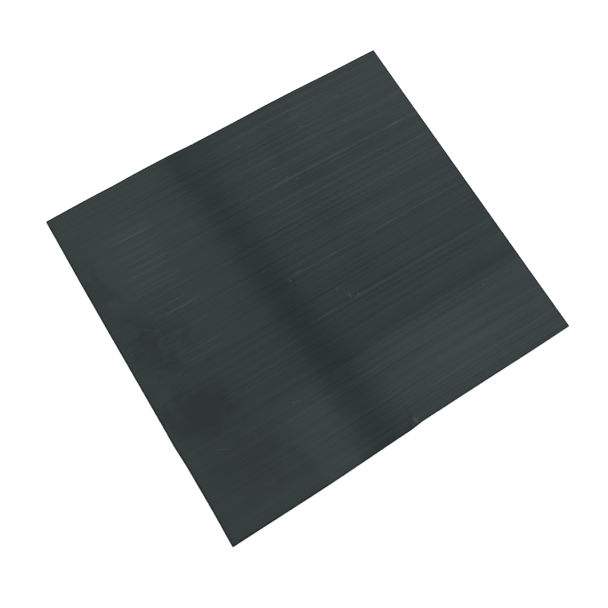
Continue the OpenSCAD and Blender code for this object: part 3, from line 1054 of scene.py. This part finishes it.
@dataclass(frozen=True)
class StrandedCopper:
    """Copper strands twisted round a lead's axis, which runs along X."""

    name: str = "stranded_copper"
    bright: Colour = (0.60, 0.27, 0.15)
    dull: Colour = (0.24, 0.09, 0.05)
    base_tone: float = 0.45
    tone_shares: Sequence[float] = (-0.5, 0.6)
    roughness: float = 0.24
    tarnish_roughness: float = 0.2
    streaks: Sequence[float] = (90.0, 900.0, 900.0)
    axis_y: float = 0.2190
    axis_z: float = 0.00175
    strands: float = 7.0
    twist: float = 900.0
    depth: float = 0.00008

    def make(self) -> Finish:
        """Builds the material.

        Returns:
            The material.
        """
        g = Graph(self.name)
        x, y, z = g.split(g.place)
        angle = g.sums("ARCTAN2", g.add(z, -self.axis_z), g.add(y, -self.axis_y))
        strand = g.ribs(g.weigh(0.0, (angle, x), (self.strands / 2, self.twist)), math.pi)
        tarnish = g.noise(g.mapped(self.streaks), detail=3.0)
        tone = g.weigh(self.base_tone, (strand, tarnish), self.tone_shares)
        return g.dress(
            Base_Color=g.blend(tone, self.bright, self.dull),
            Roughness=g.weigh(self.roughness, (tarnish,), (self.tarnish_roughness,)),
            Normal=g.relief(strand, self.depth),
            Metallic=1.0,
        )


@dataclass(frozen=True)
class ScreenPrintedInk:
    """Ink laid through a mesh, which leaves a fine grid of squares and pinholes."""

    name: str
    dark: Colour
    pale: Colour
    roughness: float
    metallic: float
    tone_shares: Sequence[float] = (0.7, 0.25, -0.3)
    rough_shares: Sequence[float] = (0.12, -0.05)
    mesh_pitch: float = 0.00035
    cloud_scale: Sequence[float] = (40.0, 160.0, 1.0)
    pinhole_scale: float = 1100.0
    pinhole_edge: Span = (0.06, 0.12)
    depth: float = 0.000012
    depth_shares: Sequence[float] = (1.0, -0.6)
    strength: float = 0.8

    def make(self) -> Finish:
        """Builds the material.

        Returns:
            The material.
        """
        g = Graph(self.name)
        grid = g.times(*[g.ribs(part, self.mesh_pitch) for part in g.split(g.place)[:2]])
        cloud = g.noise(g.mapped(self.cloud_scale), detail=4.0)
        pinholes = g.fade(g.cells(g.place, self.pinhole_scale), *self.pinhole_edge)
        tone = g.clamp(g.weigh(0.0, (cloud, grid, pinholes), self.tone_shares))
        return g.dress(
            Base_Color=g.blend(tone, self.dark, self.pale),
            Roughness=g.weigh(self.roughness, (cloud, grid), self.rough_shares),
            Normal=g.relief(g.weigh(0.0, (grid, pinholes), self.depth_shares), self.depth, self.strength),
            Metallic=self.metallic,
        )


@dataclass(frozen=True)
class Bimetal:
    """A strip of two alloys, pale above and warm below, with a heat tint at its root."""

    name: str = "bimetal"
    warm: Colour = (0.50, 0.43, 0.30)
    pale: Colour = (0.58, 0.59, 0.60)
    heated: Colour = (0.42, 0.30, 0.18)
    seam: Span = (0.00163, 0.00167)
    heat_edge: Span = (0.0145, 0.0185)
    heat_tint: Span = (0.4, 0.9)
    streaks: Sequence[float] = (120.0, 4000.0, 4000.0)
    streak_edge: Span = (0.3, 0.7)
    streak_depth: float = 0.000006
    streak_strength: float = 0.7
    roughness: Span = (0.24, 0.38)

    def make(self) -> Finish:
        """Builds the material.

        Returns:
            The material.
        """
        g = Graph(self.name)
        x, _, z = g.split(g.place)
        streaks = g.noise(g.mapped(self.streaks), detail=3.0)
        layer = g.blend(g.band(z, *self.seam), self.warm, self.pale)
        tint = g.times(g.band(x, *self.heat_edge), g.band(streaks, *self.streak_edge, *self.heat_tint))
        return g.dress(
            Base_Color=g.blend(tint, layer, self.heated),
            Roughness=g.band(streaks, *self.streak_edge, *self.roughness),
            Normal=g.relief(streaks, self.streak_depth, self.streak_strength),
            Metallic=1.0,
        )


# ------------------------------------------------------------ making pieces


def select_only(piece: Piece) -> None:
    """Makes one object the active and only selected one.

    Args:
        piece: The object.
    """
    bpy.ops.object.select_all(action="DESELECT")
    piece.select_set(True)
    bpy.context.view_layer.objects.active = piece


def merged_copy(node: str, name: str) -> Piece:
    """A new piece in a CAD node's shape, its doubles merged and its flat faces whole.

    Args:
        node: The CAD node.
        name: The new piece's name.

    Returns:
        The piece, with no parent and no material.
    """
    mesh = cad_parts[node].data.copy()
    mesh.name = name
    mesh.materials.clear()
    piece = bpy.data.objects.new(name, mesh)
    bpy.context.scene.collection.objects.link(piece)
    select_only(piece)
    bpy.ops.object.mode_set(mode="EDIT")
    bpy.ops.mesh.select_all(action="SELECT")
    bpy.ops.mesh.remove_doubles(threshold=MERGE)
    bpy.ops.mesh.dissolve_limited(angle_limit=ONE_PLANE, delimit=set())
    bpy.ops.object.mode_set(mode="OBJECT")
    return piece


def cut_across(piece: Piece, axis: Axis, places: Sequence[float]) -> None:
    """Cuts a piece into panels along planes square to one axis.

    Args:
        piece: The piece.
        axis: The axis.
        places: Where the planes stand along it; those outside the piece are passed over.
    """
    corners = [corner[axis.value] for corner in piece.bound_box]
    low, high = min(corners) + MERGE, max(corners) - MERGE
    square = Vector(float(i == axis.value) for i in range(3))
    select_only(piece)
    bpy.ops.object.mode_set(mode="EDIT")
    for place in places:
        if low < place < high:
            bpy.ops.mesh.select_all(action="SELECT")
            bpy.ops.mesh.bisect(plane_co=place * square, plane_no=square)
    bpy.ops.object.mode_set(mode="OBJECT")


def ease_edges(piece: Piece, width: float, segments: int = 2, sharper_than: float = 40.0) -> None:
    """Rounds a piece's sharp edges a little.

    Args:
        piece: The piece.
        width: How far the rounding reaches.
        segments: How many faces it has.
        sharper_than: The smallest angle in degrees that is rounded.
    """
    select_only(piece)
    bevel = piece.modifiers.new("eased_edges", "BEVEL")
    bevel.width = width
    bevel.segments = segments
    bevel.limit_method = "ANGLE"
    bevel.angle_limit = math.radians(sharper_than)
    bpy.ops.object.modifier_apply(modifier=bevel.name)


def lay(piece: Piece, lie: Lie) -> None:
    """Moves a piece's points to where the laid mat has them.

    Args:
        piece: The piece, in its flat shape.
        lie: How the mat lies.
    """
    points = piece.data.vertices
    flat = np.empty(len(points) * 3)
    points.foreach_get("co", flat)
    points.foreach_set("co", lie.move(flat.reshape(-1, 3)).ravel())
    piece.data.update()


def map_flat(piece: Piece) -> None:
    """Maps a piece's flat shape before it is laid: U runs along Y and V along X.

    Args:
        piece: The piece, in its flat shape.
    """
    layer = piece.data.uv_layers.new(name=FLAT_MAP)
    for loop in piece.data.loops:
        at = piece.data.vertices[loop.vertex_index].co
        layer.data[loop.index].uv = (at.y + MAP_RAISE, at.x + MAP_RAISE)


def stand_for(piece: Piece, node: str, finish: Finish, turn: float = 35.0) -> None:
    """Shades and dresses a piece and puts it in a CAD node's stead.

    Args:
        piece: The piece.
        node: The CAD node that it stands for.
        finish: Its material.
        turn: Edges sharper than this many degrees stay crisp.
    """
    select_only(piece)
    bpy.ops.object.shade_smooth_by_angle(angle=math.radians(turn))
    piece.data.materials.append(finish)
    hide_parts(node)
    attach(piece, MAT_BODY)
    LOG.info("%s: %d faces", piece.name, len(piece.data.polygons))


def dress_node(node: str, finish: Finish) -> None:
    """Gives a CAD node that keeps its own shape a better material.

    Args:
        node: The CAD node.
        finish: Its material.
    """
    for material_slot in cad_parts[node].material_slots:
        material_slot.material = finish
    LOG.info("%s: kept, with %s", node, finish.name)


# ------------------------------------------------------------ the laminate


@dataclass
class Laminate:
    """Cuts the mat's layers into panels and lays them on one common set of waves."""

    lie: Lie
    fine: float = 0.005
    coarse: float = 0.010
    rim: float = 0.0006
    nick_cuts: Sequence[float] = (-0.2385, -0.2365, -0.234)

    def cuts(self, half: float, pitch: float, extra: Sequence[float]) -> list[float]:
        """Places of the cuts along one axis, with one close inside each rim.

        Args:
            half: Half the mat's size along the axis.
            pitch: The panels' size.
            extra: Further cuts.

        Returns:
            The places, in order.
        """
        count = round(2 * half / pitch)
        even = [-half + 2 * half * i / count for i in range(1, count)]
        rims = (self.rim - half, half - self.rim)
        return sorted({round(place, CUT_DIGITS) for place in (*even, *extra, *rims)})

    def layer(self, node: str, finish: Finish, slot: Slot, pitch: float, eased: float = 0.0) -> Piece:
        """Copies one layer from its solid, cuts it into panels and lays it.

        Args:
            node: The layer's CAD node.
            finish: Its material.
            slot: Its slot in the record; not used.
            pitch: The size of its panels.
            eased: How far its edges are rounded, or 0.

        Returns:
            The laid piece.
        """
        piece = merged_copy(node, "laid_" + node)
        if eased:
            ease_edges(piece, eased)
        folds = [place for crease in self.lie.creases for place in crease.cuts()]
        cut_across(piece, Axis.X, self.cuts(HALF_WIDE, pitch, folds))
        cut_across(piece, Axis.Y, self.cuts(HALF_DEEP, pitch, self.nick_cuts))
        map_flat(piece)
        lay(piece, self.lie)
        stand_for(piece, node, finish)
        return piece


@dataclass
class Covers:
    """The two vinyl covers and the five strips that close the edges between them."""

    laminate: Laminate
    flat: tuple[float, float] = (0.520, 0.480)
    underside_area: float = 0.2474
    eased: float = 0.00013
    strips: Sequence[str] = tuple(
        "edge_strip_" + side for side in ("front", "left", "right", "rear_left", "rear_right")
    )

    def build_top(self) -> None:
        """Makes the top cover, a sheet laid on the bonding film and the edge strips."""
        finish = SatinTopFilm().make()
        top = self.laminate.layer("top_cover", finish, Slot.VINYL_TOP, self.laminate.fine, self.eased)

    def build_underside(self) -> None:
        """Makes the bottom cover, a sheet with a notch for the inlet."""
        finish = EmbossedUnderside().make()
        pitch = self.laminate.fine
        bottom = self.laminate.layer("bottom_cover", finish, Slot.VINYL_BOTTOM, pitch, self.eased)

    def build_strips(self) -> None:
        """Makes the edge strips."""
        finish = GrainedPlastic(
            "cut_edge_vinyl", dark=(0.0075, 0.0095, 0.0100), pale=(0.0200, 0.0230, 0.0240),
            roughness=0.48, grain_scale=(900.0, 900.0, 160.0), grain_depth=0.00005,
        ).make()
        for node in self.strips:
            self.laminate.layer(node, finish, Slot.EDGE_VINYL, self.laminate.fine)

    def build(self) -> None:
        """Makes all seven pieces."""
        self.build_top()
        self.build_underside()
        self.build_strips()


@dataclass
class HeatCore:
    """What lies between the covers, from the foam up to the bonding film."""

    laminate: Laminate
    foam_fill: float = 0.9

    def build_foam(self) -> None:
        """Makes the closed-cell foam pad."""
        finish = CellularSheet(
            "closed_cell_foam", wall=(0.27, 0.30, 0.31), hollow=(0.16, 0.18, 0.19),
            cell_scale=900.0, depth=0.00025, roughness=0.85,
        ).make()
        foam = self.laminate.layer("foam_pad", finish, Slot.FOAM, self.laminate.coarse)

    def build_films(self) -> None:
        """Makes the bonding film, the foil, the two heater films and their adhesive."""
        bonding = GrainedPlastic(
            "hot_melt_film", dark=(0.58, 0.56, 0.49), pale=(0.70, 0.68, 0.61), roughness=0.6,
            grain_scale=(700.0, 700.0, 700.0), grain_depth=0.00002,
        )
        foil = WorkedMetal(
            "rolled_foil", bright=(0.80, 0.81, 0.83), dull=(0.62, 0.63, 0.65), roughness=0.30,
            streaks=(30.0, 1600.0, 1600.0), tarnish_scale=90.0,
        )
        film = GrainedPlastic(
            "clear_heater_film", dark=(0.36, 0.41, 0.44), pale=(0.46, 0.50, 0.53), roughness=0.16,
            grain_scale=(300.0, 300.0, 300.0), grain_depth=0.000006, alpha=0.6,
        ).make()
        adhesive = CellularSheet(
            "laminating_adhesive", wall=(0.58, 0.53, 0.38), hollow=(0.48, 0.43, 0.29),
            cell_scale=350.0, depth=0.00002, roughness=0.35,
        )
        plan = (
            ("bonding_film", bonding.make(), Slot.BONDING_FILM),
            ("heat_spreader_foil", foil.make(), Slot.FOIL),
            ("heater_top_film", film, Slot.HEATER_FILM),
            ("heater_base_film", film, Slot.HEATER_FILM),
            ("laminating_adhesive", adhesive.make(), Slot.ADHESIVE),
        )
        for node, finish, slot in plan:
            self.laminate.layer(node, finish, slot, self.laminate.coarse)

    def build_print(self) -> None:
        """Makes the printed carbon stripes and silver strips, and the copper busbars."""
        carbon = ScreenPrintedInk(
            "carbon_ink", dark=(0.0035, 0.0035, 0.0040), pale=(0.0110, 0.0110, 0.0120),
            roughness=0.55, metallic=0.0,
        )
        silver = ScreenPrintedInk(
            "silver_ink", dark=(0.42, 0.43, 0.44), pale=(0.66, 0.67, 0.68), roughness=0.42, metallic=0.85
        )
        copper = WorkedMetal(
            "rolled_copper", bright=(0.66, 0.30, 0.17), dull=(0.42, 0.17, 0.10), roughness=0.30,
            streaks=(2500.0, 40.0, 2500.0),
        ).make()
        plan = (
            ("carbon_stripes", carbon.make(), Slot.CARBON_INK),
            ("silver_strips", silver.make(), Slot.SILVER_INK),
            ("busbar_left", copper, Slot.COPPER),
            ("busbar_right", copper, Slot.COPPER),
        )
        for node, finish, slot in plan:
            self.laminate.layer(node, finish, slot, self.laminate.coarse)

    def build(self) -> None:
        """Makes all the inner layers."""
        self.build_foam()
        self.build_films()
        self.build_print()


@dataclass
class Wiring:
    """The leads that run along the rear edge from the busbars to the inlet."""

    laminate: Laminate

    def build_leads(self) -> None:
        """Makes the two stranded leads and their sleeves, red right and black left."""
        core = StrandedCopper().make()
        drawn: dict[str, object] = {
            "roughness": 0.38, "grain_scale": (220.0, 2600.0, 2600.0), "grain_depth": 0.00002
        }
        red = GrainedPlastic("red_sleeve", dark=(0.21, 0.014, 0.010), pale=(0.27, 0.022, 0.016), **drawn)
        black = GrainedPlastic(
            "black_sleeve", dark=(0.0050, 0.0055, 0.0070), pale=(0.0120, 0.0130, 0.0150), **drawn
        )
        for side, sleeve, slot in (("right", red, Slot.SLEEVE_RED), ("left", black, Slot.SLEEVE_BLACK)):
            self.laminate.layer("wire_core_" + side, core, Slot.COPPER, self.laminate.fine)
            self.laminate.layer("wire_sleeve_" + side, sleeve.make(), slot, self.laminate.fine)

    def build_joints(self) -> None:
        """Makes the eyelets through the busbars and the lugs on the leads' ends."""
        finish = WorkedMetal(
            "tinned_brass", bright=(0.62, 0.56, 0.42), dull=(0.42, 0.37, 0.26), roughness=0.28,
            streaks=(900.0, 900.0, 900.0), tarnish_scale=400.0,
        ).make()
        for node in ("busbar_eyelets", "lug_left", "lug_right"):
            self.laminate.layer(node, finish, Slot.TINNED_BRASS, self.laminate.fine)

    def build(self) -> None:
        """Makes the leads and their joints."""
        self.build_leads()
        self.build_joints()


# ------------------------------------------------------------ the inlet


@dataclass
class Inlet:
    """The moulded inlet in the rear edge, with its lid, screws, seals and pins."""

    moulded_ease: float = 0.00018
    lid_ease: float = 0.00012
    screw_ease: float = 0.00006
    pin_ease: float = 0.00012
    crisp: float = 40.0

    def shaped(self, node: str, name: str, eased: float, finish: Finish) -> Piece:
        """Copies one piece of the inlet from its solid and rounds its edges.

        Args:
            node: The CAD node.
            name: The new piece's name.
            eased: How far its edges are rounded.
            finish: Its material.

        Returns:
            The piece.
        """
        piece = merged_copy(node, name)
        ease_edges(piece, eased)
        stand_for(piece, node, finish, turn=self.crisp)
        return piece

    def build_shell(self) -> None:
        """Makes the housing, its lid and the lid's four screws."""
        moulded = GrainedPlastic(
            "moulded_nylon", dark=(0.0050, 0.0056, 0.0062), pale=(0.0105, 0.0115, 0.0125), roughness=0.42
        ).make()
        self.shaped("inlet_housing", "moulded_housing", self.moulded_ease, moulded)
        self.shaped("inlet_lid", "moulded_lid", self.lid_ease, moulded)
        self.shaped("lid_screws", "turned_screws", self.screw_ease, TurnedSteel().make())

    def build_pins(self) -> None:
        """Makes the two plated pins and dresses the carrier that holds them."""
        gold = WorkedMetal(
            "gold_plate", bright=(0.83, 0.60, 0.24), dull=(0.70, 0.47, 0.16), roughness=0.16,
            streaks=(3000.0, 60.0, 3000.0), tarnish_scale=500.0,
        ).make()
        for side in ("left", "right"):
            self.shaped(f"contact_pin_{side}", f"plated_pin_{side}", self.pin_ease, gold)
        carrier = GrainedPlastic(
            "cream_carrier", dark=(0.62, 0.58, 0.48), pale=(0.72, 0.69, 0.60), roughness=0.42
        )
        dress_node("pin_carrier", carrier.make())

    def build_seals(self) -> None:
        """Dresses the lid's gasket and the leads' grommets."""
        silicone = GrainedPlastic(
            "grey_silicone", dark=(0.080, 0.095, 0.100), pale=(0.120, 0.138, 0.145), roughness=0.62,
            cloud_scale=300.0,
        ).make()
        for node in ("lid_gasket", "wire_grommets"):
            dress_node(node, silicone)

    def build(self) -> None:
        """Makes and dresses the whole inlet."""
        self.build_shell()
        self.build_pins()
        self.build_seals()


@dataclass
class ThermalCutout:
    """The thermal cut-out inside the inlet. Its pieces keep their solids' shapes."""

    def build(self) -> None:
        """Dresses the case, its terminals, the strap to the pin and the blade."""
        shell = GrainedPlastic(
            "mottled_phenolic", dark=(0.036, 0.020, 0.011), pale=(0.070, 0.043, 0.026), roughness=0.40,
            cloud_scale=900.0,
        ).make()
        brass = WorkedMetal(
            "stamped_brass", bright=(0.72, 0.52, 0.22), dull=(0.50, 0.34, 0.13), roughness=0.26,
            streaks=(400.0, 3000.0, 3000.0), tarnish_scale=500.0,
        ).make()
        for node in ("cutout_case", "cutout_lid"):
            dress_node(node, shell)
        for node in ("cutout_contact_terminal", "cutout_anchor_terminal", "link_strap"):
            dress_node(node, brass)
        dress_node("cutout_blade", Bimetal().make())


# ------------------------------------------------------------ the studio


@dataclass(frozen=True)
class LightPanel:
    """A flat soft light overhead that faces straight down."""

    name: str
    centre: Point
    size: tuple[float, float]
    turn: float
    radiance: float

    def hang(self) -> None:
        """Adds the light, out of the camera's sight."""
        data = bpy.data.lights.new(self.name, "AREA")
        data.shape = "RECTANGLE"
        data.size, data.size_y = self.size
        data.energy = self.radiance * math.pi * self.size[0] * self.size[1]
        light = bpy.data.objects.new(self.name, data)
        light.location = self.centre
        light.rotation_euler = (0.0, 0.0, math.radians(self.turn))
        light.visible_camera = False
        bpy.context.scene.collection.objects.link(light)


@dataclass
class Studio:
    """Plain pale floor, soft lights and the camera."""

    camera_place: Point = (-0.17126, -0.16580, 0.81959)
    camera_target: Point = (-0.02729, -0.03120, 0.0040)
    camera_roll: float = 15.33
    lens: float = 37.963
    sensor: float = 36.0
    nearest: float = 0.01
    floor_radius: float = 20.0
    floor_sides: int = 96
    floor_drop: float = 0.0001
    floor_colours: tuple[Colour, Colour] = ((0.955, 0.955, 0.955), (0.975, 0.975, 0.975))
    floor_tooth: float = 300.0
    floor_roughness: float = 0.95
    floor_sheen: float = 0.1
    floor_glow: float = 0.40
    white: Colour = (1.0, 1.0, 1.0)
    sky_steps: Sequence[Span] = ((0.18, 0.25), (0.34, 0.46), (0.62, 0.78))
    horizon: float = 1.0
    low_sky: float = 0.50
    shoulder: float = 2.20
    zenith: float = 0.18
    panels: Sequence[LightPanel] = (
        LightPanel("left_panel", (-0.310, 0.40, 1.5), (0.81, 2.20), 4.8, 0.57),
        LightPanel("right_panel", (0.873, 0.30, 1.5), (1.20, 2.20), 4.6, 0.50),
        LightPanel("far_right_panel", (1.10, 0.90, 1.5), (0.96, 1.10), 0.0, 0.05),
    )

    def build_floor(self) -> None:
        """Lays the floor, a wide disc whose rim is out of sight."""
        bpy.ops.object.select_all(action="DESELECT")
        bpy.ops.mesh.primitive_circle_add(
            vertices=self.floor_sides, radius=self.floor_radius, fill_type="NGON",
            location=(0.0, 0.0, -self.floor_drop),
        )
        floor = bpy.context.object
        floor.name = "studio_floor"
        g = Graph("studio_paper")
        paper = g.dress(
            Base_Color=g.blend(g.noise(g.place, self.floor_tooth, detail=3.0), *self.floor_colours),
            Roughness=self.floor_roughness,
            Specular_IOR_Level=self.floor_sheen,
            Emission_Color=self.white,
            Emission_Strength=self.floor_glow,
        )
        floor.data.materials.append(paper)

    def build_sky(self) -> None:
        """Makes a pale sky in level bands: the horizon, low down, mid height and overhead."""
        world = bpy.data.worlds.new("studio_sky")
        world.use_nodes = True
        sky = Nodes(world.node_tree)
        height = sky.split(sky.node("TexCoord", "Generated", {}))[2]
        levels = (self.horizon, self.low_sky, self.shoulder, self.zenith)
        steps = [
            sky.band(height, *step, 0.0, end - start)
            for step, start, end in zip(self.sky_steps, levels, levels[1:])
        ]
        background = world.node_tree.nodes["Background"]
        sky.put(background.inputs["Strength"], sky.add(self.horizon, *steps))
        sky.put(background.inputs["Color"], self.white)
        bpy.context.scene.world = world

    def build_camera(self) -> None:
        """Sets the camera over the mat's front left part, looking nearly straight down."""
        data = bpy.data.cameras.new("camera")
        data.lens = self.lens
        data.sensor_width = self.sensor
        data.clip_start = self.nearest
        place, target = Vector(self.camera_place), Vector(self.camera_target)
        look = (target - place).to_track_quat("-Z", "Y").to_matrix().to_4x4()
        camera = bpy.data.objects.new("camera", data)
        roll = Matrix.Rotation(math.radians(self.camera_roll), 4, "Z")
        camera.matrix_world = Matrix.Translation(place) @ look @ roll
        bpy.context.scene.collection.objects.link(camera)
        bpy.context.scene.camera = camera

    def build(self) -> None:
        """Builds the whole studio."""
        bpy.context.scene.view_settings.view_transform = "Standard"
        self.build_camera()
        self.build_floor()
        self.build_sky()
        for light in self.panels:
            light.hang()


def main() -> None:
    """Builds the studio, the laminate, the wiring and the inlet, in that order."""
    logging.basicConfig(level=logging.INFO, format="%(name)s: %(message)s")
    Studio().build()
    laminate = Laminate(Lie())
    Covers(laminate).build()
    HeatCore(laminate).build()
    Wiring(laminate).build()
    Inlet().build()
    ThermalCutout().build()


if __name__ == "__main__":
    main()
